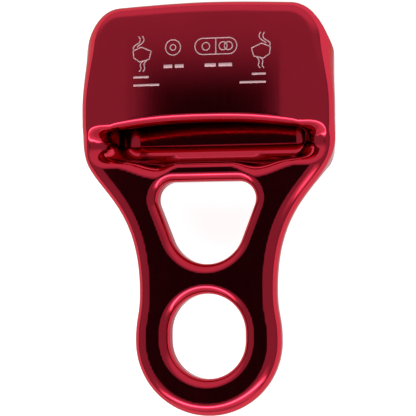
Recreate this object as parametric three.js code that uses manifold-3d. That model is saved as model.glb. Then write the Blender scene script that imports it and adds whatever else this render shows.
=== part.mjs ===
// Rope descender: a rope tube, a flat shank and a karabiner eye, forged as one piece of aluminium.
// Millimetres. It lies on its back: +X across, +Y along the body towards the tube's rim, +Z out of the
// front face. Heights along the body are counted from the middle of the karabiner eye, and depths from
// the middle of the shank's thickness, until the finished body is set down at the end.
import * as THREE from "three";
import { mergeVertices } from "three/addons/utils/BufferGeometryUtils.js";
import Module from "manifold-3d";

// Karabiner eye, at the foot of the shank
const EYE_HOLE_WIDTH = 20;
const EYE_HOLE_STRETCH = 2;
const EYE_SIDE_WALL = 9.3;
const EYE_FOOT_WALL = 9.6;

// Shank
const PLATE_THICKNESS = 8;
const EDGE_ROUND = 2.8;
const NECK_WIDTH = 36.3;
const NECK_ABOVE_EYE = 13;
const NECK_PULL = 26;
const SHOULDER_PULL = 13;

// Window for the karabiner that catches the rope's bight
const WINDOW_ABOVE_EYE = 7.7;
const WINDOW_FOOT_RADIUS = 9.9;
const WINDOW_CORNER_RADIUS = 4.5;
const WINDOW_WIDTH = 26;
const WINDOW_LENGTH = 21.4;

// Rope tube
const TUBE_WIDTH = 67;
const TUBE_LENGTH = 35.4;
const FRONT_STEP = 2.3;
const FRONT_WALL = 4.8;
const BACK_WALL = 5;
const SIDE_WALL = 6.5;
const SIDE_DRAFT = 2.4;
const SLOT_DEPTH = 15.3;
const SLOT_CORNER = 4;
const FRONT_CORNER = 5;
const BACK_CORNER = 5;
const TOP_CORNER = 9;
const RIM_ARCH = 0.7;
const RIM_ROUND = 2;

// Rope mouth, under the front lip: the bridge over the window, the ramp behind it, the lip, and the
// step down each side wall's end to the plate
const BRIDGE = 3.3;
const RAMP_SLOPE = 0.25;
const RAMP_CREST = 2.5;
const RAMP_FILLET = 3;
const MOUTH_HEIGHT = 12;
const MOUTH_CORNER = 5;
const MOUTH_FOOT_WIDTH = 46;
const LIP_ARCH = 2.5;
const STEP_FOOT = 7;
const STEP_RUN = 3;
const STEP_PULL = 1;
const SHOULDER_DROP = 8;
const FLOOR_THICKNESS = 4;
const HEEL_ROUND = 4;

// Notches in the sides of the rim, and the two grooves in its back lip that add friction
const NOTCH_DEPTH = 12;
const NOTCH_ROUND = 6;
const GROOVE_WIDTH = 11;
const GROOVE_DEPTH = 2.6;
const GROOVE_SPACING = 24;

const CURVE_STEPS = 10;
const BEVEL_STEPS = 3;
const SPARE = 10;

// Heights and half sizes that follow from the sizes above
const halfPlate = PLATE_THICKNESS / 2;
const halfTube = TUBE_WIDTH / 2;
const halfSlot = halfTube - SIDE_WALL;
const tubeFront = halfPlate + FRONT_STEP;
const slotFront = tubeFront - FRONT_WALL;
const slotBack = slotFront - SLOT_DEPTH;
const tubeBack = slotBack - BACK_WALL;
const eyeRadius = EYE_HOLE_WIDTH / 2 + EYE_SIDE_WALL;
const halfEye = EYE_HOLE_WIDTH / 2 + EYE_HOLE_STRETCH / 2;
const eyeFoot = -(halfEye + EYE_FOOT_WALL);
const eyeCentre = eyeFoot + eyeRadius;
const neckHeight = eyeCentre + NECK_ABOVE_EYE;
const windowFoot = halfEye + WINDOW_ABOVE_EYE;
const windowTop = windowFoot + WINDOW_LENGTH;
const rampFoot = windowTop + BRIDGE;
const rampTop = rampFoot + RAMP_SLOPE * (halfPlate - slotBack);
const lipHeight = rampFoot + MOUTH_HEIGHT;
const lipEnd = lipHeight - LIP_ARCH;
const shoulderHeight = rampFoot + SHOULDER_DROP;
const tubeTop = shoulderHeight + TUBE_LENGTH;

// A closed shape from the right-hand half of its outline, foot first, mirrored to the left
function mirrored(path) {
  const right = path.getPoints(CURVE_STEPS);
  const left = right.filter((p) => p.x > 1e-6).map((p) => new THREE.Vector2(-p.x, p.y));
  return new THREE.Shape([...right, ...left.reverse()]);
}

// Outline of the whole body seen from the front
function bodyOutline() {
  const neck = NECK_WIDTH / 2;
  const path = new THREE.Path();
  path.moveTo(0, eyeFoot);
  path.absarc(0, eyeCentre, eyeRadius, -Math.PI / 2, 0, false);
  path.bezierCurveTo(
    eyeRadius, (eyeCentre + neckHeight) / 2,
    neck, (eyeCentre + neckHeight) / 2,
    neck, neckHeight,
  );
  path.bezierCurveTo(
    neck, neckHeight + NECK_PULL,
    halfTube, shoulderHeight - SHOULDER_PULL,
    halfTube, shoulderHeight,
  );
  path.absarc(halfTube - TOP_CORNER, tubeTop - RIM_ARCH - TOP_CORNER, TOP_CORNER, 0, Math.PI / 2, false);
  path.quadraticCurveTo(halfTube / 4, tubeTop, 0, tubeTop);
  return mirrored(path);
}

function eyeHole() {
  const radius = EYE_HOLE_WIDTH / 2;
  const straight = EYE_HOLE_STRETCH / 2;
  const path = new THREE.Path();
  path.absarc(0, -straight, radius, Math.PI, 2 * Math.PI, false);
  path.absarc(0, straight, radius, 0, Math.PI, false);
  path.closePath();
  return path;
}

// A wide round foot and two small top corners, joined by straight flanks that touch both
function windowHole() {
  const foot = new THREE.Vector2(0, windowFoot + WINDOW_FOOT_RADIUS);
  const corner = new THREE.Vector2(WINDOW_WIDTH / 2 - WINDOW_CORNER_RADIUS, windowTop - WINDOW_CORNER_RADIUS);
  const span = corner.clone().sub(foot);
  const lean = span.angle() - Math.acos((WINDOW_FOOT_RADIUS - WINDOW_CORNER_RADIUS) / span.length());
  const path = new THREE.Path();
  path.absarc(foot.x, foot.y, WINDOW_FOOT_RADIUS, Math.PI - lean, 2 * Math.PI + lean, false);
  path.absarc(corner.x, corner.y, WINDOW_CORNER_RADIUS, lean, Math.PI / 2, false);
  path.absarc(-corner.x, corner.y, WINDOW_CORNER_RADIUS, Math.PI / 2, Math.PI - lean, false);
  path.closePath();
  return path;
}

// The tube seen along the body. Its sides are widest at the middle of the plate and draw in towards
// the back, and its front corners are broader than its back ones.
function tubeSection() {
  const halfBack = halfTube - SIDE_DRAFT;
  const path = new THREE.Path();
  path.moveTo(0, tubeBack);
  path.absarc(halfBack - BACK_CORNER, tubeBack + BACK_CORNER, BACK_CORNER, -Math.PI / 2, 0, false);
  path.absarc(halfTube - FRONT_CORNER, tubeFront - FRONT_CORNER, FRONT_CORNER, 0, Math.PI / 2, false);
  path.lineTo(0, tubeFront);
  return mirrored(path);
}

function slotSection() {
  const path = new THREE.Path();
  path.moveTo(0, slotBack);
  path.absarc(halfSlot - SLOT_CORNER, slotBack + SLOT_CORNER, SLOT_CORNER, -Math.PI / 2, 0, false);
  path.absarc(halfSlot - SLOT_CORNER, slotFront - SLOT_CORNER, SLOT_CORNER, 0, Math.PI / 2, false);
  path.lineTo(0, slotFront);
  return mirrored(path);
}

// The tube seen from the side, as (depth, height). In front it steps out from the plate beside the
// lip, and behind, the heel runs down to the plate, parallel to the ramp.
function tubeSideView() {
  const floor = (depth) => rampFoot + RAMP_SLOPE * (halfPlate - depth) - FLOOR_THICKNESS;
  const shape = new THREE.Shape();
  shape.moveTo(-halfPlate, floor(-halfPlate));
  shape.lineTo(halfPlate, floor(-halfPlate));
  shape.lineTo(halfPlate, lipEnd - STEP_FOOT);
  shape.bezierCurveTo(
    halfPlate, lipEnd - STEP_PULL,
    tubeFront, lipEnd - STEP_PULL,
    tubeFront, lipEnd + STEP_RUN,
  );
  shape.absarc(tubeFront - RIM_ROUND, tubeTop - RIM_ROUND, RIM_ROUND, 0, Math.PI / 2, false);
  shape.absarc(tubeBack + RIM_ROUND, tubeTop - RIM_ROUND, RIM_ROUND, Math.PI / 2, Math.PI, false);
  shape.lineTo(tubeBack, floor(tubeBack) + HEEL_ROUND);
  shape.quadraticCurveTo(tubeBack, floor(tubeBack), tubeBack + HEEL_ROUND, floor(tubeBack + HEEL_ROUND));
  return shape;
}

// All that lies above the ramp, as (depth, height). The rope bends over the ramp's rounded crest.
function spaceAboveRamp() {
  const rise = RAMP_SLOPE * RAMP_FILLET;
  const shape = new THREE.Shape();
  shape.moveTo(tubeFront + SPARE, rampFoot - RAMP_CREST);
  shape.lineTo(tubeFront + SPARE, tubeTop + SPARE);
  shape.lineTo(slotBack - SPARE, tubeTop + SPARE);
  shape.lineTo(slotBack - SPARE, rampTop + RAMP_FILLET);
  shape.lineTo(slotBack, rampTop + RAMP_FILLET);
  shape.quadraticCurveTo(slotBack, rampTop, slotBack + RAMP_FILLET, rampTop - rise);
  shape.lineTo(halfPlate - RAMP_CREST, rampFoot + RAMP_SLOPE * RAMP_CREST);
  shape.quadraticCurveTo(halfPlate, rampFoot, halfPlate, rampFoot - RAMP_CREST);
  return shape;
}

// The mouth under the front lip, seen from the front: an arched top and sides that close in downwards
function ropeMouth() {
  const path = new THREE.Path();
  path.moveTo(0, windowTop);
  path.lineTo(MOUTH_FOOT_WIDTH / 2, windowTop);
  path.absarc(halfSlot - MOUTH_CORNER, lipEnd - MOUTH_CORNER, MOUTH_CORNER, 0, Math.PI / 2, false);
  path.quadraticCurveTo(halfSlot / 2, lipHeight, 0, lipHeight);
  return mirrored(path);
}

// The dip in the rim's sides between the front and the back wall, as (depth, height)
function notchSideView() {
  const notchFoot = tubeTop - NOTCH_DEPTH;
  const shape = new THREE.Shape();
  shape.moveTo(slotBack, tubeTop + SPARE);
  shape.lineTo(slotBack, notchFoot + NOTCH_ROUND);
  shape.quadraticCurveTo(slotBack, notchFoot, slotBack + NOTCH_ROUND, notchFoot);
  shape.lineTo(slotFront - NOTCH_ROUND, notchFoot);
  shape.quadraticCurveTo(slotFront, notchFoot, slotFront, notchFoot + NOTCH_ROUND);
  shape.lineTo(slotFront, tubeTop + SPARE);
  return shape;
}

// An extrusion of a shape drawn in X and Y, between two depths
function alongZ(shape, low, high) {
  const geometry = new THREE.ExtrudeGeometry(shape, {
    depth: high - low, bevelEnabled: false, curveSegments: CURVE_STEPS,
  });
  return geometry.translate(0, 0, low);
}

// An extrusion across the body of a shape drawn as (depth, height)
function alongX(shape, halfWidth) {
  return alongZ(shape, -halfWidth, halfWidth).rotateY(-Math.PI / 2);
}

// An extrusion along the body of a shape drawn as (across, depth)
function alongY(shape, low, high) {
  return alongZ(shape, -high, -low).rotateX(Math.PI / 2);
}

const wasm = await Module();
wasm.setup();

function solid(geometry) {
  geometry.deleteAttribute("normal");
  geometry.deleteAttribute("uv");
  const merged = mergeVertices(geometry, 1e-4);
  return new wasm.Manifold(new wasm.Mesh({
    numProp: 3,
    vertProperties: new Float32Array(merged.attributes.position.array),
    triVerts: new Uint32Array(merged.index.array),
  }));
}

function toGeometry(manifold) {
  const mesh = manifold.getMesh();
  const geometry = new THREE.BufferGeometry();
  geometry.setAttribute("position", new THREE.BufferAttribute(mesh.vertProperties, 3));
  geometry.setIndex(new THREE.BufferAttribute(mesh.triVerts, 1));
  return geometry;
}

// Shank and eye: a plate with its two holes, rounded along every edge, up to the foot of the ramp
function shankSolid() {
  const shape = bodyOutline();
  shape.holes.push(eyeHole(), windowHole());
  const geometry = new THREE.ExtrudeGeometry(shape, {
    depth: PLATE_THICKNESS - 2 * EDGE_ROUND,
    bevelThickness: EDGE_ROUND,
    bevelSize: EDGE_ROUND,
    bevelOffset: -EDGE_ROUND,
    bevelSegments: BEVEL_STEPS,
    curveSegments: CURVE_STEPS,
  });
  geometry.translate(0, 0, EDGE_ROUND - halfPlate);
  const below = new THREE.Shape([
    new THREE.Vector2(-halfTube - SPARE, eyeFoot - SPARE),
    new THREE.Vector2(halfTube + SPARE, eyeFoot - SPARE),
    new THREE.Vector2(halfTube + SPARE, rampFoot),
    new THREE.Vector2(-halfTube - SPARE, rampFoot),
  ]);
  return solid(geometry).intersect(solid(alongZ(below, -halfPlate - SPARE, halfPlate + SPARE)));
}

// The tube before it is cut: what its three views have in common
function tubeBlank() {
  const front = solid(alongZ(bodyOutline(), tubeBack - SPARE, tubeFront + SPARE));
  const side = solid(alongX(tubeSideView(), halfTube + SPARE));
  const along = solid(alongY(tubeSection(), eyeFoot - SPARE, tubeTop + SPARE));
  return front.intersect(side).intersect(along);
}

// The rope's way: down the slot, over the ramp and out of the mouth
function ropeWay() {
  const slot = solid(alongY(slotSection(), windowTop, tubeTop + SPARE));
  const mouth = solid(alongZ(ropeMouth(), slotBack + SLOT_CORNER, tubeFront + SPARE));
  return slot.add(mouth).intersect(solid(alongX(spaceAboveRamp(), halfTube)));
}

// Half-round grooves across the back lip of the rim
function frictionGrooves() {
  const radius = (GROOVE_WIDTH ** 2 / 4 + GROOVE_DEPTH ** 2) / (2 * GROOVE_DEPTH);
  const groove = (x) => {
    const geometry = new THREE.CylinderGeometry(radius, radius, 2 * SPARE, 4 * CURVE_STEPS);
    geometry.rotateX(Math.PI / 2);
    return solid(geometry.translate(x, tubeTop - GROOVE_DEPTH + radius, slotBack - SPARE / 2));
  };
  return groove(-GROOVE_SPACING / 2).add(groove(GROOVE_SPACING / 2));
}

const redAnodised = new THREE.MeshStandardMaterial({ color: 0xa01228, roughness: 0.2, metalness: 1 });

function descenderBody() {
  const notches = solid(alongX(notchSideView(), halfTube + SPARE));
  const cuts = ropeWay().add(notches).add(frictionGrooves());
  const body = shankSolid().add(tubeBlank()).subtract(cuts);
  const mesh = new THREE.Mesh(toGeometry(body), redAnodised);
  mesh.name = "descender_body";
  return mesh;
}

// Set down on its back, with the middle of its footprint over the origin
const descender = new THREE.Group();
descender.add(descenderBody());
descender.position.set(0, -(eyeFoot + tubeTop) / 2, -tubeBack);

export default descender;
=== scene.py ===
import itertools
import math

import bpy
import numpy as np
from mathutils import Matrix, Vector


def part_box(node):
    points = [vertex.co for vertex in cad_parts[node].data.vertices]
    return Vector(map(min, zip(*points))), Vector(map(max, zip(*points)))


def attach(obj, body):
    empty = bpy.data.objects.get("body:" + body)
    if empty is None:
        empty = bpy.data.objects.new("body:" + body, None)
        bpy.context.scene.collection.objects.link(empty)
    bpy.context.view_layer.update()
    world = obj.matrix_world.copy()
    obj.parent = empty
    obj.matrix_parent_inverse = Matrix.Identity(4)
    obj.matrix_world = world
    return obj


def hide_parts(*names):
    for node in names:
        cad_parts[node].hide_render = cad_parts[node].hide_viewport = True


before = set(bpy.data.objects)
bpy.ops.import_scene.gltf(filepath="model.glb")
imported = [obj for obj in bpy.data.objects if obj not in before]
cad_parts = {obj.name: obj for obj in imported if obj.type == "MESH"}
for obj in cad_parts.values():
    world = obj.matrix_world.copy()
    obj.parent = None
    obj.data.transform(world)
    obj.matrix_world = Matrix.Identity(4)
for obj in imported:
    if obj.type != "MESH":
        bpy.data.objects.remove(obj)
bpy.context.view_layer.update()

bl_info = {
    "name": "Rope Descender",
    "version": (1, 0, 0),
    "blender": (4, 5, 0),
    "location": "View3D > Sidebar > Descender",
    "description": "Builds a forged and dyed rope descender with its etched marks and a studio stage",
    "category": "Add Mesh",
}

MM = 0.001
FORGING = "descender_body"
BOX_LOW, BOX_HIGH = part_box(FORGING)


def length(name, description, default_mm):
    return bpy.props.FloatProperty(
        name=name, description=description, default=default_mm * MM, unit="LENGTH", precision=4
    )


def colour(name, description, default):
    return bpy.props.FloatVectorProperty(
        name=name, description=description, default=default, size=3, min=0.0, max=1.0, subtype="COLOR"
    )


class ForgingSizes(bpy.types.PropertyGroup):
    """Sizes of the forged body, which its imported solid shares"""

    eye_width: length("Eye width", "Across the karabiner eye's hole", 20)
    eye_length: length("Eye length", "Along the karabiner eye's hole", 22)
    eye_side_wall: length("Eye side wall", "Metal beside the eye", 9.3)
    eye_foot_wall: length("Eye foot wall", "Metal below the eye", 9.6)
    plate: length("Plate", "Thickness of the shank", 8)
    edge_round: length("Edge round", "Radius of the outer edges", 3.4)
    hole_round: length("Hole round", "Radius of the edges of the eye and the window", 2.6)
    neck_width: length("Neck width", "Narrowest width of the shank", 36.3)
    neck_rise: length("Neck rise", "Height of the neck above the eye's outer circle", 13)
    neck_pull: length("Neck pull", "How long the neck stays narrow", 26)
    shoulder_pull: length("Shoulder pull", "How full the shoulders are", 13)
    window_rise: length("Window rise", "Metal between the eye and the window", 7.7)
    window_foot: length("Window foot", "Radius of the window's foot", 9.9)
    window_corner: length("Window corner", "Radius of the window's top corners", 4.5)
    window_width: length("Window width", "Across the window", 26)
    window_length: length("Window length", "Along the window", 21.4)
    bridge: length("Bridge", "Flat metal above the window", 3.3)
    shoulder_drop: length("Shoulder drop", "From the ramp's foot up to the shoulders", 8)
    mouth_height: length("Mouth height", "From the ramp's foot to the lip", 12)
    lip_arch: length("Lip arch", "Rise of the lip's middle over its ends", 2.5)
    ramp_fillet: length("Ramp fillet", "Radius where the ramp meets the back wall", 3)
    ramp_crest: length("Ramp crest", "Rise of the ramp's middle, over the window", 1.25)
    haunch: length("Haunch", "Rise of the ramp towards its ends", 3)
    ridge_round: length("Ridge round", "Radius of the crest in the ramp's middle", 1)
    floor: length("Floor", "Metal under the ramp", 4)
    front_step: length("Front step", "How far the front wall stands before the plate", 2.3)
    step_foot: length("Step foot", "From the side walls' lip down to the plate", 7)
    step_run: length("Step run", "From the side walls' lip up to the full front", 3)
    scoop_height: length("Scoop height", "Height of the scoops at the mouth's ends", 7)
    scoop_rise: length("Scoop rise", "From the ramp's foot to the middle of the scoops", 6.3)
    scoop_wall: length("Scoop wall", "Metal left outside each scoop", 2.3)
    front_wall: length("Front wall", "Thickness of the tube's front wall", 4.8)
    side_wall: length("Side wall", "Thickness of the tube's side walls", 6.5)
    slot: length("Slot", "Depth of the rope slot", 15.3)
    slot_corner: length("Slot corner", "Radius in the slot's corners", 4)
    slot_ledge: length("Slot ledge", "How much narrower the slot is at its back, on each side", 2)
    top_corner: length("Top corner", "Radius of the rim's corners, from the front", 9)
    rim_arch: length("Rim arch", "Rise of the rim's middle", 0.7)
    rim_taper: length("Rim taper", "How far each side draws in from the lip to the rim", 3.3)
    rim_round: length("Rim round", "Radius of the slot's edges", 1.5)
    lip_round: length("Lip round", "Radius of the mouth's edges", 2.5)
    notch: length("Notch", "Depth of the dips in the rim's sides", 12)
    groove_width: length("Groove width", "Width of the grooves in the back lip", 11)
    groove_depth: length("Groove depth", "Depth of the grooves in the back lip", 2.6)
    groove_spacing: length("Groove spacing", "Distance between the grooves", 24)
    cell: length("Cell", "Edge of the surface's quads", 0.5)
    ramp_slope: bpy.props.FloatProperty(
        name="Ramp slope", description="Rise of the ramp per depth", default=0.25
    )


class FinishColours(bpy.types.PropertyGroup):
    """Colours of the dyed metal and of its etched marks"""

    dye: colour("Dye", "Colour of the dyed oxide", (0.47, 0.010, 0.034))
    dye_deep: colour("Deep dye", "Colour where the dye lies thicker", (0.42, 0.008, 0.028))
    mark: colour("Mark", "Colour of the etched lines", (0.52, 0.33, 0.35))


# ---------------------------------------------------------------- outlines


def arc(centre, radius, start, end, step=0.3 * MM):
    """Points along a circle, from one angle in degrees to another"""
    count = max(3, math.ceil(abs(radius * math.radians(end - start)) / step))
    turn = np.radians(np.linspace(start, end, count + 1))
    return np.stack([centre[0] + radius * np.cos(turn), centre[1] + radius * np.sin(turn)], 1)


def bezier(*points, step=0.3 * MM):
    """Points along the curve that these control points pull"""
    p = [np.array(q, float) for q in points]
    span = sum(np.linalg.norm(b - a) for a, b in zip(p, p[1:]))
    t = np.linspace(0, 1, max(3, math.ceil(span / step)) + 1)[:, None]
    while len(p) > 1:
        p = [a * (1 - t) + b * t for a, b in zip(p, p[1:])]
    return p[0]


def mirrored(*runs):
    """The right half of an outline, from its foot up, closed by its own mirror image"""
    right = np.concatenate(runs)
    return np.concatenate([right, right[::-1] * (-1, 1)])


class Section:
    """Signed distance to a closed outline, kept on a fine grid and read back by a smooth spline"""

    def __init__(self, outline, margin=5 * MM, step=0.5 * MM):
        self.low, self.step = outline.min(0) - margin - 2 * step, step
        count = np.ceil((outline.max(0) + margin - self.low) / step).astype(int) + 3
        grid = np.stack(np.meshgrid(*(np.arange(n) for n in count), indexing="ij"), -1)
        points = grid.reshape(-1, 2) * step + self.low
        a, b = outline, np.roll(outline, -1, 0)
        keep = np.linalg.norm(b - a, axis=1) > 1e-9
        a, b = a[keep], b[keep]
        parts = np.array_split(points, max(1, len(points) // 4000))
        self.table = np.concatenate([self.distance(p, a, b) for p in parts]).reshape(count)

    @staticmethod
    def distance(points, a, b):
        along, off = b - a, points[:, None] - a
        t = np.clip((off * along).sum(2) / (along * along).sum(1), 0, 1)
        far = np.sqrt(((off - t[..., None] * along) ** 2).sum(2)).min(1)
        y = points[:, None, 1]
        spans = (a[:, 1] > y) != (b[:, 1] > y)
        with np.errstate(divide="ignore", invalid="ignore"):
            crossing = a[:, 0] + (y - a[:, 1]) / along[:, 1] * along[:, 0]
        inside = (spans & (points[:, None, 0] < crossing)).sum(1) % 2 == 1
        return np.where(inside, -far, far)

    def __call__(self, u, v):
        taps = []
        for value, low, count in zip((u, v), self.low, self.table.shape):
            place = np.clip((value - low) / self.step, 1.0, count - 2.001)
            cell = np.floor(place).astype(int)
            t = place - cell
            weights = (
                (1 - t) ** 3 / 6,
                (3 * t**3 - 6 * t**2 + 4) / 6,
                (-3 * t**3 + 3 * t**2 + 3 * t + 1) / 6,
                t**3 / 6,
            )
            taps.append([(cell + k - 1, w) for k, w in enumerate(weights)])
        return sum(wu * wv * self.table[iu, iv] for iu, wu in taps[0] for iv, wv in taps[1])


def rounded_both(a, b, radius):
    """What lies in both shapes, its edge rounded off"""
    corner = np.hypot(np.maximum(radius + a, 0), np.maximum(radius + b, 0))
    return np.minimum(-radius, np.maximum(a, b)) + corner


def filleted_either(a, b, radius):
    """What lies in either shape, its inner corner filled"""
    return -rounded_both(-a, -b, radius)


def softened(value, width):
    """The value where it is positive, running out to nothing below"""
    return (value + np.sqrt(value**2 + width**2)) / 2


def eased(value, start, end):
    """0 up to the start and 1 past the end, with a smooth slope between"""
    t = np.clip((value - start) / (end - start), 0, 1)
    return t * t * (3 - 2 * t)


# ---------------------------------------------------------------- the forging


class Forging:
    """The body as one signed distance: across is x, height y counts from the middle of the eye and
    depth z from the middle of the plate, front face up"""

    def __init__(self, size):
        self.size = size
        self.half_plate = size.plate / 2
        self.half_tube = (BOX_HIGH.x - BOX_LOW.x) / 2
        self.half_slot = self.half_tube - size.side_wall
        self.tube_front = self.half_plate + size.front_step
        self.tube_back = self.tube_front - (BOX_HIGH.z - BOX_LOW.z)
        self.slot_front = self.tube_front - size.front_wall
        self.slot_back = self.slot_front - size.slot
        self.eye_foot = -(size.eye_length / 2 + size.eye_foot_wall)
        self.top = self.eye_foot + BOX_HIGH.y - BOX_LOW.y
        self.window_foot = size.eye_length / 2 + size.window_rise
        self.window_top = self.window_foot + size.window_length
        self.ramp_foot = self.window_top + size.bridge
        self.lip = self.ramp_foot + size.mouth_height
        self.lip_end = self.lip - size.lip_arch
        self.shoulder = self.ramp_foot + size.shoulder_drop
        self.outline = Section(self.body_outline())
        self.eye = Section(self.eye_outline())
        self.window = Section(self.window_outline())
        self.side = Section(self.side_outline())
        self.notch = Section(self.notch_outline())
        self.origin = Vector((0, BOX_LOW.y - self.eye_foot, BOX_LOW.z - self.tube_back))

    def body_outline(self):
        s = self.size
        eye_radius = s.eye_width / 2 + s.eye_side_wall
        eye_middle = self.eye_foot + eye_radius
        neck, neck_height = s.neck_width / 2, eye_middle + s.neck_rise
        bend = (eye_middle + neck_height) / 2
        wide, shoulder = self.half_tube, self.shoulder
        corner = (wide - s.top_corner, self.top - s.rim_arch - s.top_corner)
        return mirrored(
            arc((0, eye_middle), eye_radius, -90, 0),
            bezier((eye_radius, eye_middle), (eye_radius, bend), (neck, bend), (neck, neck_height)),
            bezier(
                (neck, neck_height),
                (neck, neck_height + s.neck_pull),
                (wide, shoulder - s.shoulder_pull),
                (wide, shoulder),
            ),
            arc(corner, s.top_corner, 0, 90),
            bezier((corner[0], self.top - s.rim_arch), (wide / 4, self.top), (0, self.top)),
        )

    def eye_outline(self):
        radius = self.size.eye_width / 2
        straight = self.size.eye_length / 2 - radius
        return mirrored(arc((0, -straight), radius, -90, 0), arc((0, straight), radius, 0, 90))

    def window_outline(self):
        s = self.size
        foot = np.array((0, self.window_foot + s.window_foot))
        corner = np.array((s.window_width / 2 - s.window_corner, self.window_top - s.window_corner))
        span = corner - foot
        reach = np.linalg.norm(span)
        closing = math.acos((s.window_foot - s.window_corner) / reach)
        lean = math.degrees(math.atan2(span[1], span[0]) - closing)
        return mirrored(arc(foot, s.window_foot, -90, lean), arc(corner, s.window_corner, lean, 90))

    def floor_height(self, depth):
        """Height of the floor's underside, which slopes with the ramp"""
        s = self.size
        return self.ramp_foot + s.ramp_slope * (self.half_plate - depth) - s.floor

    def side_outline(self):
        """The body from the side, as (depth, height), left open past its foot and its rim"""
        s = self.size
        plate, front, back = self.half_plate, self.tube_front, self.tube_back
        past, heel, bend = 12 * MM, 5 * MM, 4 * MM
        step = self.lip_end - 1 * MM
        runs = [
            [(-plate, self.eye_foot - past), (plate, self.eye_foot - past)],
            bezier(
                (plate, self.lip_end - s.step_foot),
                (plate, step),
                (front, step),
                (front, self.lip_end + s.step_run),
            ),
            [(front, self.top + past), (back, self.top + past)],
            bezier(
                (back, self.floor_height(back) + heel),
                (back, self.floor_height(back)),
                (back + heel, self.floor_height(back + heel)),
            ),
            bezier(
                (-plate - bend, self.floor_height(-plate - bend)),
                (-plate, self.floor_height(-plate)),
                (-plate, self.floor_height(-plate) - bend),
            ),
        ]
        return np.concatenate([np.array(run, float) for run in runs])

    def notch_outline(self):
        """The dip in the rim's sides, as (depth, height)"""
        foot, past = self.top - self.size.notch, self.top + 12 * MM
        back, front = self.slot_back + 0.8 * MM, self.slot_front - 0.4 * MM
        turn = 6 * MM
        runs = [
            [(front, past)],
            bezier((front, foot + 9 * MM), (front - 1 * MM, foot), (back + turn, foot)),
            bezier((back + turn, foot), (back, foot), (back, foot + turn)),
            [(back, past)],
        ]
        return np.concatenate([np.array(run, float) for run in runs])

    def front_drop(self, x, y):
        """How far the front wall lies behind its middle: it is crowned, and rounds off at its sides"""
        middle = self.lip + 6 * MM
        across, along = x / (30 * MM), (y - middle) / (20 * MM)
        crown = 0.9 * MM * across**2 + 0.55 * MM * along**2
        flat, side_radius = 20 * MM, 50 * MM
        past = np.maximum(abs(x) - flat, 0)
        return crown + past**2 / (2 * side_radius)

    def back_drop(self, x):
        """How far the back wall rounds forward beside its flat"""
        flat, side_radius = 24 * MM, 9 * MM
        past = np.maximum(abs(x) - flat, 0)
        return past**2 / (2 * side_radius)

    def drawn_in(self, y, z, in_tube):
        """How far each side draws in: to the back by its draft, to the rim, and to the heel"""
        draft_slope, head_slope, heel_slope = 0.15, 0.72, 0.5
        draft = draft_slope * np.maximum(-z - 1 * MM, 0)
        to_rim = eased(y, self.lip + 4 * MM, self.top - 5 * MM) * eased(z, -5 * MM, 5 * MM)
        head = head_slope * softened(y - (self.top - 11 * MM), 1.5 * MM)
        heel = heel_slope * softened(self.lip - 3 * MM - y, 3 * MM)
        in_back = 1 - eased(z, -10 * MM, -1 * MM)
        behind_plate = 1 - eased(z, -10 * MM, -4.5 * MM)
        tube = draft + self.size.rim_taper * to_rim + in_back * head
        return in_tube * tube + behind_plate * heel

    def blank(self, x, y, z):
        """The body before the rope's way is cut"""
        s = self.size
        in_tube = eased(y, self.lip_end - 9 * MM, self.lip_end)
        narrow = 1 - self.drawn_in(y, z, in_tube) / self.half_tube
        in_front = eased(z, -5 * MM, 1 * MM)
        drop = in_front * self.front_drop(x, y) - (1 - in_front) * self.back_drop(x)
        profile = self.side(z + in_tube * drop, y)
        tube_round = s.edge_round - 0.4 * MM * in_tube
        body = rounded_both(self.outline(x / narrow, y), profile, tube_round)
        holes = np.minimum(self.eye(x, y), self.window(x, y))
        return rounded_both(body, -holes, s.hole_round)

    @staticmethod
    def over_window(x):
        """1 over the window's flat top, easing to 0 beside it"""
        return 1 - eased(abs(x), 7 * MM, 13 * MM)

    def ramp_height(self, x, z):
        """Height of the ramp that the rope runs over, with its crest and its haunches"""
        s = self.size
        in_front = eased(z, -10 * MM, 1 * MM)
        rise = s.ramp_crest * self.over_window(x) + s.haunch * eased(abs(x), 13 * MM, 25 * MM)
        return self.ramp_foot + s.ramp_slope * (self.half_plate - z) + rise * in_front

    def scoop(self, x, y, z):
        """The hollow at each end of the mouth, which widens the slot towards its front"""
        s = self.size
        radius, lean = s.scoop_height / 2, math.radians(48)
        start_side, start_depth = self.half_slot - s.slot_ledge, -2 * MM
        past = (abs(x) - start_side) * math.cos(lean) - (z - start_depth) * math.sin(lean)
        height = y - self.ramp_foot - s.scoop_rise
        pipe = np.hypot(np.maximum(past + radius, 0), height) - radius
        pipe = rounded_both(pipe, self.slot_back + 2.5 * MM - z, 2 * MM)
        return rounded_both(pipe, abs(x) - (self.half_tube - s.scoop_wall), 2 * MM)

    def rope_way(self, x, y, z):
        """Down the slot, over the ramp and out under the lip"""
        s = self.size
        lip = self.lip - s.lip_arch * (abs(x) / self.half_slot) ** 2.5
        front = filleted_either(z + self.front_drop(x, y) - self.slot_front, y - lip, 1.2 * MM)
        ramp = (self.ramp_height(x, z) - y) / math.hypot(1, s.ramp_slope)
        back = rounded_both(self.slot_back - z, ramp, s.ramp_fillet)
        side = self.half_slot - s.slot_ledge * (1 - eased(z, -5 * MM, 3 * MM))
        way = rounded_both(np.maximum(front, back), abs(x) - side, s.slot_corner)
        blend = 1.5 * MM
        way = filleted_either(way, self.scoop(x, y, z), blend)
        return filleted_either(way, self.notch(z, y), blend)

    def grooves(self, x, y, z):
        """The two shallow grooves in the back lip"""
        s = self.size
        radius = (s.groove_width**2 / 4 + s.groove_depth**2) / (2 * s.groove_depth)
        middle = self.top - s.groove_depth + radius
        bore = np.hypot(abs(x) - s.groove_spacing / 2, y - middle) - radius
        return np.maximum(bore, z - self.slot_back - 3 * MM)

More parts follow.
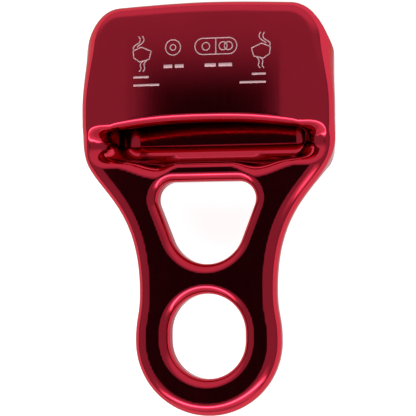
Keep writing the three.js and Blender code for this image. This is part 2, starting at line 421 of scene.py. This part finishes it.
    def __call__(self, x, y, z):
        """Signed distance to the finished body, less than nothing inside it"""
        s = self.size
        to_rim = eased(y, self.lip, self.lip + 10 * MM)
        on_ridge = self.over_window(x) * (1 - eased(y, self.ramp_foot + 3 * MM, self.lip - 4 * MM))
        radius = s.lip_round + (s.rim_round - s.lip_round) * to_rim
        radius = radius - (s.lip_round - s.ridge_round) * on_ridge
        body = rounded_both(self.blank(x, y, z), -self.rope_way(x, y, z), radius)
        groove_round = 1.4 * MM
        return rounded_both(body, -self.grooves(x, y, z), groove_round)

    def slope(self, points, step=0.02 * MM):
        """Distance and its gradient at each point"""
        corners = np.array([(1, -1, -1), (-1, -1, 1), (-1, 1, -1), (1, 1, 1)], float)
        values = [self(*(points + step * c).T) for c in corners]
        gradient = sum(v[:, None] * c for v, c in zip(values, corners)) / (4 * step)
        return sum(values) / 4, gradient


def surface_net(values):
    """Vertices, in cells, and quads of the surface where the values change sign"""
    inside = values < 0
    shape = np.array(values.shape) - 1
    corner = [
        inside[i : shape[0] + i, j : shape[1] + j, k : shape[2] + k]
        for i, j, k in itertools.product((0, 1), repeat=3)
    ]
    filled = sum(c.astype(np.int8) for c in corner)
    cells = np.argwhere((filled > 0) & (filled < 8))
    number = np.full(tuple(shape), -1)
    number[tuple(cells.T)] = np.arange(len(cells))
    total, hits = np.zeros((len(cells), 3)), np.zeros(len(cells))
    quads = []
    for axis in range(3):
        step = np.eye(3, dtype=int)[axis]
        side_a, side_b = (np.eye(3, dtype=int)[(axis + n) % 3] for n in (1, 2))
        for i, j in itertools.product((0, 1), repeat=2):
            low = cells + i * side_a + j * side_b
            a, b = values[tuple(low.T)], values[tuple((low + step).T)]
            cut = (a < 0) != (b < 0)
            share = np.where(cut, a / np.where(cut, a - b, 1), 0)
            total += cut[:, None] * (low + share[:, None] * step)
            hits += cut
        last = [slice(1, -1)] * 3
        last[axis] = slice(0, -1)
        following = list(last)
        following[axis] = slice(1, None)
        a, b = inside[tuple(last)], inside[tuple(following)]
        for leaving, order in ((a & ~b, 1), (~a & b, -1)):
            low = np.argwhere(leaving) + 1 - step
            ring = [low - side_a - side_b, low - side_b, low, low - side_a]
            quads.append(np.stack([number[tuple(r.T)] for r in ring], 1)[:, ::order])
    return total / hits[:, None], np.concatenate(quads)


def relaxed(points, quads, shape, rounds=4):
    """The points evened out along the surface and set exactly on it, and its normals there"""
    ends = np.concatenate([quads, np.roll(quads, -1, 1)]).ravel()
    others = np.concatenate([np.roll(quads, -1, 1), quads]).ravel()
    count = np.bincount(ends, minlength=len(points))[:, None]
    pull = 0.6
    for turn in range(rounds + 2):
        distance, gradient = shape.slope(points)
        steep = (gradient**2).sum(1)
        points = points - (distance / steep)[:, None] * gradient
        normal = gradient / np.sqrt(steep)[:, None]
        if turn < rounds:
            sums = [np.bincount(ends, points[others, k], minlength=len(points)) for k in range(3)]
            move = np.stack(sums, 1) / count - points
            points = points + pull * (move - (move * normal).sum(1)[:, None] * normal)
    return points, normal


# ---------------------------------------------------------------- materials


class Socket:
    """A shader socket that adds Math nodes when it is used in an expression"""

    def __init__(self, kit, link):
        self.kit, self.link = kit, link

    def math(self, operation, *others):
        terms = {0: self, **dict(enumerate(others, 1))}
        return self.kit.node("ShaderNodeMath", {"operation": operation}, terms)

    def __add__(self, other):
        return self.math("ADD", other)

    def __radd__(self, other):
        return self.math("ADD", other)

    def __sub__(self, other):
        return self.math("SUBTRACT", other)

    def __rsub__(self, other):
        return self.kit.node("ShaderNodeMath", {"operation": "SUBTRACT"}, {0: other, 1: self})

    def __mul__(self, other):
        return self.math("MULTIPLY", other)

    def __rmul__(self, other):
        return self.math("MULTIPLY", other)


class Kit:
    """The node tree of a material, a world or a modifier, and its one way of adding nodes"""

    def __init__(self, name, holders=bpy.data.materials):
        self.holder = holders.new(name)
        self.holder.use_nodes = True
        self.tree = self.holder.node_tree
        self.tree.nodes.clear()

    @classmethod
    def world(cls, name):
        return cls(name, bpy.data.worlds)

    @classmethod
    def geometry(cls, name):
        kit = cls.__new__(cls)
        kit.holder = kit.tree = bpy.data.node_groups.new(name, "GeometryNodeTree")
        return kit

    def socket(self, name, kind, direction="INPUT"):
        return self.tree.interface.new_socket(name=name, in_out=direction, socket_type=kind)

    def node(self, kind, settings=None, inputs=None, output=0):
        node = self.tree.nodes.new(kind)
        for name, value in (settings or {}).items():
            setattr(node, name, value)
        for name, value in (inputs or {}).items():
            if isinstance(value, Socket):
                self.tree.links.new(value.link, node.inputs[name])
            else:
                node.inputs[name].default_value = value
        return Socket(self, node.outputs[output]) if node.outputs else None

    def output(self, kind, shader):
        self.node(kind, inputs={"Surface": shader})

    def finish(self, shader):
        self.output("ShaderNodeOutputMaterial", shader)
        return self.holder


def dyed_metal(colours):
    """Polished aluminium under a thin clear oxide that holds the dye"""
    kit = Kit("dyed_metal")
    place = kit.node("ShaderNodeTexCoord", output="Object")
    stretch = {"Vector": place, "Scale": (1, 0.06, 1)}
    drawn = kit.node("ShaderNodeMapping", {"vector_type": "POINT"}, stretch)
    grain = {"Vector": drawn, "Scale": 2600.0, "Detail": 3.0}
    brushing = kit.node("ShaderNodeTexNoise", {}, grain)
    cloud = kit.node("ShaderNodeTexNoise", {}, {"Vector": place, "Scale": 90.0, "Detail": 2.0})
    peel = kit.node("ShaderNodeTexNoise", {}, {"Vector": place, "Scale": 420.0, "Detail": 2.0})
    tint = kit.node(
        "ShaderNodeMix",
        {"data_type": "RGBA"},
        {0: cloud, 6: (*colours.dye, 1), 7: (*colours.dye_deep, 1)},
        output=2,
    )
    rough = 0.06 + 0.05 * brushing + 0.03 * cloud
    relief = 0.5 * brushing + 0.5 * peel
    bump = kit.node("ShaderNodeBump", {}, {"Height": relief, "Strength": 0.02, "Distance": 0.0002})
    shader = kit.node(
        "ShaderNodeBsdfPrincipled",
        {},
        {
            "Base Color": tint,
            "Metallic": 1.0,
            "Roughness": rough,
            "Normal": bump,
            "Specular Tint": (0.5, 0.3, 0.33, 1),
            "Coat Weight": 0.3,
            "Coat Roughness": 0.08,
            "Coat IOR": 1.5,
        },
    )
    return kit.finish(shader)


def etched_metal(colours):
    """Where the dye is burnt away: paler and duller, with fine pits"""
    kit = Kit("etched_metal")
    place = kit.node("ShaderNodeTexCoord", output="Object")
    pits = kit.node("ShaderNodeTexNoise", {}, {"Vector": place, "Scale": 5200.0, "Detail": 2.0})
    bump = kit.node("ShaderNodeBump", {}, {"Height": pits, "Strength": 0.15, "Distance": 0.00005})
    shader = kit.node(
        "ShaderNodeBsdfPrincipled",
        {},
        {
            "Base Color": (*colours.mark, 1),
            "Metallic": 0.35,
            "Roughness": 0.5 + 0.25 * pits,
            "Normal": bump,
        },
    )
    return kit.finish(shader)


# ---------------------------------------------------------------- etched marks


STROKE_STEP = 0.2 * MM


def ring(x, y, radius):
    """A closed circle"""
    return arc((x, y), radius, 0, 360, STROKE_STEP)[:-1]


def capsule(left, right, y, radius):
    """A closed capsule that lies between two sides"""
    left_end = arc((left + radius, y), radius, 90, 270, STROKE_STEP)
    right_end = arc((right - radius, y), radius, -90, 90, STROKE_STEP)
    return [*left_end, *right_end]


def rope_sign(x, y, side):
    """A tube seen from its edge with a rope bent through it; side is the way the free end leaves"""

    def at(u, v):
        return (x + side * u * MM, y + v * MM)

    tube = [at(-2.4, 0.6), at(-0.2, 1.6), at(2.5, 0.4), at(1.9, -1.7), at(-0.6, -2.3), at(-2.2, -1.2)]
    load = bezier(at(1.2, -2.0), at(-0.4, -3.2), at(1.6, -3.9), at(0.2, -4.8), step=STROKE_STEP)
    load_edge = bezier(at(0.2, -2.2), at(-1.4, -3.2), at(0.6, -3.9), at(-0.8, -4.8), step=STROKE_STEP)
    free = bezier(at(-2.2, 1.0), at(-3.2, 2.4), at(0.8, 2.2), at(-0.9, 4.4), step=STROKE_STEP)
    free_edge = bezier(at(-1.2, 1.5), at(-1.6, 2.2), at(1.6, 2.4), at(0.1, 4.5), step=STROKE_STEP)
    return [(tube, True), (load, False), (load_edge, False), (free, False), (free_edge, False)]


def mark_strokes():
    """Every line of the signs as (points, closed), in metres on the body's own x and y"""
    strokes = rope_sign(-16 * MM, 73.6 * MM, 1) + rope_sign(15.4 * MM, 73.6 * MM, -1)
    row, divide, tall = 74.8 * MM, 3.6 * MM, 2.1 * MM
    rings = [(-7.7, 2.0), (-7.7, 0.75), (1.0, 1.0), (5.5, 1.05), (6.9, 1.05)]
    strokes += [(ring(x * MM, row, radius * MM), True) for x, radius in rings]
    strokes.append((capsule(-1.9 * MM, 9.1 * MM, row, tall), True))
    strokes.append(([(divide, row - tall), (divide, row + tall)], False))
    return strokes


def mark_bars():
    """Plain bars in place of captions, as (name, width, strokes)"""

    def bar(left, right, height):
        return ([(left * MM, height * MM), (right * MM, height * MM)], False)

    sizes = [bar(a, b, 69.9) for a, b in ((-10.2, -7.9), (-7.2, -4.9), (0.7, 3.6), (4.3, 7.8))]
    left = [bar(-18.3, -14.2, 67.3), bar(-18.3, -11.4, 65.2)]
    right = [bar(13.0, 16.6, 67.3), bar(9.8, 16.6, 65.2)]
    return [("etched_sizes", 0.9 * MM, sizes), ("etched_captions", 0.55 * MM, left + right)]


def stroke_curves(name, strokes):
    """The strokes as one poly curve object that the mark tree reads"""
    curve = bpy.data.curves.new(name, "CURVE")
    curve.dimensions = "3D"
    for points, closed in strokes:
        spline = curve.splines.new("POLY")
        spline.points.add(len(points) - 1)
        for knot, (x, y) in zip(spline.points, points):
            knot.co = (x, y, 0, 1)
        spline.use_cyclic_u = closed
    return bpy.data.objects.new(name, curve)


def mark_tree():
    """Lays each stroke on the body below it and gives it a flat section"""
    kit = Kit.geometry("etched_strokes")
    kit.socket("Strokes", "NodeSocketGeometry")
    kit.socket("Body", "NodeSocketObject")
    kit.socket("Width", "NodeSocketFloat")
    kit.socket("Thickness", "NodeSocketFloat")
    kit.socket("Spacing", "NodeSocketFloat")
    kit.socket("Clearance", "NodeSocketFloat")
    kit.socket("Material", "NodeSocketMaterial")
    kit.socket("Marks", "NodeSocketGeometry", "OUTPUT")
    given = kit.tree.nodes.new("NodeGroupInput")
    strokes, body, width, thickness, spacing, clearance, material = (
        Socket(kit, link) for link in given.outputs[:7]
    )
    evenly = {"Curve": strokes, "Length": spacing}
    fine = kit.node("GeometryNodeResampleCurve", {"mode": "LENGTH"}, evenly)
    surface = kit.node(
        "GeometryNodeObjectInfo",
        {"transform_space": "RELATIVE"},
        {"Object": body},
        output="Geometry",
    )
    place = kit.node("GeometryNodeInputPosition")
    high = kit.node("ShaderNodeCombineXYZ", {}, {"Z": clearance})
    start = kit.node("ShaderNodeVectorMath", {"operation": "ADD"}, {0: place, 1: high})
    straight_down = {
        "Target Geometry": surface,
        "Source Position": start,
        "Ray Direction": (0, 0, -1),
        "Ray Length": 1.0,
    }
    met = kit.node("GeometryNodeRaycast", {"data_type": "FLOAT"}, straight_down, "Hit Position")
    laid = kit.node("GeometryNodeSetPosition", {}, {"Geometry": fine, "Position": met})
    level = kit.node("GeometryNodeSetCurveNormal", {"mode": "Z_UP"}, {"Curve": laid})
    flat = {"Width": width, "Height": thickness}
    section = kit.node("GeometryNodeCurvePrimitiveQuadrilateral", {}, flat)
    swept = {"Curve": level, "Profile Curve": section, "Fill Caps": True}
    ribbon = kit.node("GeometryNodeCurveToMesh", {}, swept)
    real = kit.node("GeometryNodeRealizeInstances", {}, {"Geometry": ribbon})
    worn = kit.node("GeometryNodeSetMaterial", {}, {"Geometry": real, "Material": material})
    kit.node("NodeGroupOutput", inputs={"Marks": worn})
    return kit.tree


def laid_marks(context, name, strokes, body, width, material):
    """One object of strokes, run through the mark tree and kept as a plain mesh"""
    source = stroke_curves(name + "_strokes", strokes)
    context.scene.collection.objects.link(source)
    tree = mark_tree()
    modifier = source.modifiers.new("Marks", "NODES")
    modifier.node_group = tree
    given = {
        "Body": body,
        "Width": width,
        "Thickness": 0.05 * MM,
        "Spacing": 0.25 * MM,
        "Clearance": 200 * MM,
        "Material": material,
    }
    for item in tree.interface.items_tree:
        if item.in_out == "INPUT" and item.name in given:
            modifier[item.identifier] = given[item.name]
    context.view_layer.update()
    seen = source.evaluated_get(context.evaluated_depsgraph_get())
    mesh = bpy.data.meshes.new_from_object(seen)
    bpy.data.objects.remove(source)
    bpy.data.node_groups.remove(tree)
    mesh.name = name
    marks = bpy.data.objects.new(name, mesh)
    context.scene.collection.objects.link(marks)
    return marks


# ---------------------------------------------------------------- operators


def wear(obj, material):
    """Gives the whole piece one material"""
    obj.data.materials.clear()
    obj.data.materials.append(material)


def settle(obj, replaced=()):
    """Puts the piece on the one body and hides the CAD nodes that it stands in for"""
    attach(obj, "root")
    if replaced:
        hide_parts(*replaced)


class DESCENDER_OT_forging(bpy.types.Operator):
    """Build the forged body: tube, shank and eye"""

    bl_idname = "descender.forging"
    bl_label = "Forged Body"

    def execute(self, context):
        size = context.scene.descender_sizes
        shape = Forging(size)
        cell = size.cell * 1
        low = np.array([-shape.half_tube, shape.eye_foot, shape.tube_back]) - 3 * cell
        high = np.array([shape.half_tube, shape.top, shape.tube_front]) + 3 * cell
        steps = [np.arange(a, b, cell) for a, b in zip(low, high)]
        x, y, z = steps
        values = shape(x[:, None, None], y[None, :, None], z[None, None, :])
        points, quads = surface_net(values)
        points, normals = relaxed(points * cell + low, quads, shape)
        mesh = bpy.data.meshes.new("descender_forging")
        mesh.from_pydata(points + np.array(shape.origin), [], quads.tolist())
        mesh.shade_smooth()
        mesh.normals_split_custom_set_from_vertices(normals)
        body = bpy.data.objects.new("descender_forging", mesh)
        context.scene.collection.objects.link(body)
        wear(body, dyed_metal(context.scene.descender_colours))
        settle(body, [FORGING])
        return {"FINISHED"}


class DESCENDER_OT_marks(bpy.types.Operator):
    """Etch the rope signs and plain caption bars on the front wall"""

    bl_idname = "descender.marks"
    bl_label = "Etched Marks"

    def execute(self, context):
        body = bpy.data.objects["descender_forging"]
        origin = Forging(context.scene.descender_sizes).origin
        material = etched_metal(context.scene.descender_colours)
        move = np.array(origin[:2])
        groups = [("etched_signs", 0.26 * MM, mark_strokes()), *mark_bars()]
        for name, width, strokes in groups:
            moved = [(np.array(points) + move, closed) for points, closed in strokes]
            marks = laid_marks(context, name, moved, body, width, material)
            wear(marks, material)
            settle(marks)
        return {"FINISHED"}


class DESCENDER_OT_stage(bpy.types.Operator):
    """Set the pale floor, the soft lights and the camera"""

    bl_idname = "descender.stage"
    bl_label = "Studio Stage"

    def execute(self, context):
        context.scene.view_settings.view_transform = "Standard"
        self.floor(context)
        self.lights(context)
        self.camera(context)
        return {"FINISHED"}

    def floor(self, context):
        kit = Kit("pale_floor")
        grain = kit.node("ShaderNodeTexNoise", {}, {"Scale": 900.0, "Detail": 2.0})
        shader = kit.node(
            "ShaderNodeBsdfPrincipled",
            {},
            {
                "Base Color": (0.5, 0.5, 0.5, 1),
                "Roughness": 0.7 + 0.1 * grain,
                "Emission Color": (1, 1, 1, 1),
                "Emission Strength": 0.8,
            },
        )
        half = 4.0
        corners = [(-half, -half, 0), (half, -half, 0), (half, half, 0), (-half, half, 0)]
        mesh = bpy.data.meshes.new("floor")
        mesh.from_pydata(corners, [], [(0, 1, 2, 3)])
        floor = bpy.data.objects.new("floor", mesh)
        context.scene.collection.objects.link(floor)
        wear(floor, kit.finish(shader))

    def lights(self, context):
        """An even tent, brighter at the head, with a soft box and a bright strip at the foot and the
        dark of the lens above. Each ramp is given two ends on a direction, then the level at each"""
        kit = Kit.world("studio")
        context.scene.world = kit.holder
        axes = kit.node("ShaderNodeSeparateXYZ", {}, {0: kit.node("ShaderNodeTexCoord")})
        across, along, up = (Socket(kit, axes.link.node.outputs[n]) for n in range(3))
        wide = across.math("ABSOLUTE")
        tent = self.ramp(kit, up, 0.0, 0.4, 0.38, 0.47)
        head = self.ramp(kit, along, 0.2, 0.6, 0.0, 0.55)
        box = self.ramp(kit, along, -0.28, -0.45, 0.0, 0.9)
        box = box * self.ramp(kit, along, -0.8, -0.95, 1.0, 0.4)
        strip = self.ramp(kit, along, -0.5, -0.55, 0.0, 9.0)
        strip = strip * self.ramp(kit, along, -0.62, -0.68, 1.0, 0.0)
        level = tent + head + (box + strip) * self.ramp(kit, wide, 0.4, 0.8, 1.0, 0.0)
        beside = self.ramp(kit, (across + 0.19).math("ABSOLUTE"), 0.085, 0.12, 0.0, 1.0)
        above = self.ramp(kit, along, 0.1, 0.23, 0.0, 1.0)
        beneath = self.ramp(kit, along, -0.08, -0.2, 0.0, 1.0)
        behind = self.ramp(kit, up, 0.6, 0.3, 0.0, 1.0)
        lens = beside.math("MAXIMUM", above).math("MAXIMUM", beneath).math("MAXIMUM", behind)
        dark = 0.025
        level = level * (dark + (1 - dark) * lens)
        glow = {"Color": (1, 1, 1, 1), "Strength": level}
        kit.output("ShaderNodeOutputWorld", kit.node("ShaderNodeBackground", {}, glow))

    @staticmethod
    def ramp(kit, value, start, end, low, high):
        return kit.node(
            "ShaderNodeMapRange",
            {"interpolation_type": "SMOOTHSTEP"},
            {"Value": value, "From Min": start, "From Max": end, "To Min": low, "To Max": high},
        )

    def camera(self, context):
        """From in front, a little to one side and below, with the whole part in view"""
        middle, distance, seen_width, sensor = 33.3 * MM, 500 * MM, 108.25 * MM, 36
        yaw, pitch, roll = (math.radians(angle) for angle in (11.5, 2.5, 0.44))
        size = context.scene.descender_sizes
        eye_foot = -(size.eye_length / 2 + size.eye_foot_wall)
        plate_middle = BOX_HIGH.z - size.front_step - size.plate / 2
        aim = Vector((0, BOX_LOW.y - eye_foot + middle, plate_middle))
        level = math.cos(pitch)
        back = Vector((math.sin(yaw) * level, -math.sin(pitch), math.cos(yaw) * level))
        right = Vector((0, 1, 0)).cross(back).normalized()
        up = back.cross(right)
        turn = Matrix((right, up, back)).transposed().to_4x4()
        data = bpy.data.cameras.new("camera")
        data.sensor_width = sensor
        data.lens = distance / seen_width * sensor
        camera = bpy.data.objects.new("camera", data)
        place = Matrix.Translation(aim + back * distance)
        camera.matrix_world = place @ turn @ Matrix.Rotation(-roll, 4, "Z")
        data.clip_start, data.clip_end = 0.01, 20
        context.scene.collection.objects.link(camera)
        context.scene.camera = camera


class DESCENDER_PT_panel(bpy.types.Panel):
    """Lists the steps that build the descender"""

    bl_idname = "DESCENDER_PT_panel"
    bl_label = "Rope Descender"
    bl_space_type = "VIEW_3D"
    bl_region_type = "UI"
    bl_category = "Descender"

    def draw(self, context):
        for operator in OPERATORS:
            self.layout.operator(operator.bl_idname)


OPERATORS = (DESCENDER_OT_stage, DESCENDER_OT_forging, DESCENDER_OT_marks)
CLASSES = (ForgingSizes, FinishColours, *OPERATORS, DESCENDER_PT_panel)


def register():
    for cls in CLASSES:
        bpy.utils.register_class(cls)
    bpy.types.Scene.descender_sizes = bpy.props.PointerProperty(type=ForgingSizes)
    bpy.types.Scene.descender_colours = bpy.props.PointerProperty(type=FinishColours)


def unregister():
    del bpy.types.Scene.descender_colours
    del bpy.types.Scene.descender_sizes
    for cls in reversed(CLASSES):
        bpy.utils.unregister_class(cls)


def main():
    register()
    for operator in OPERATORS:
        group, name = operator.bl_idname.split(".")
        getattr(getattr(bpy.ops, group), name)()


if __name__ == "__main__":
    main()
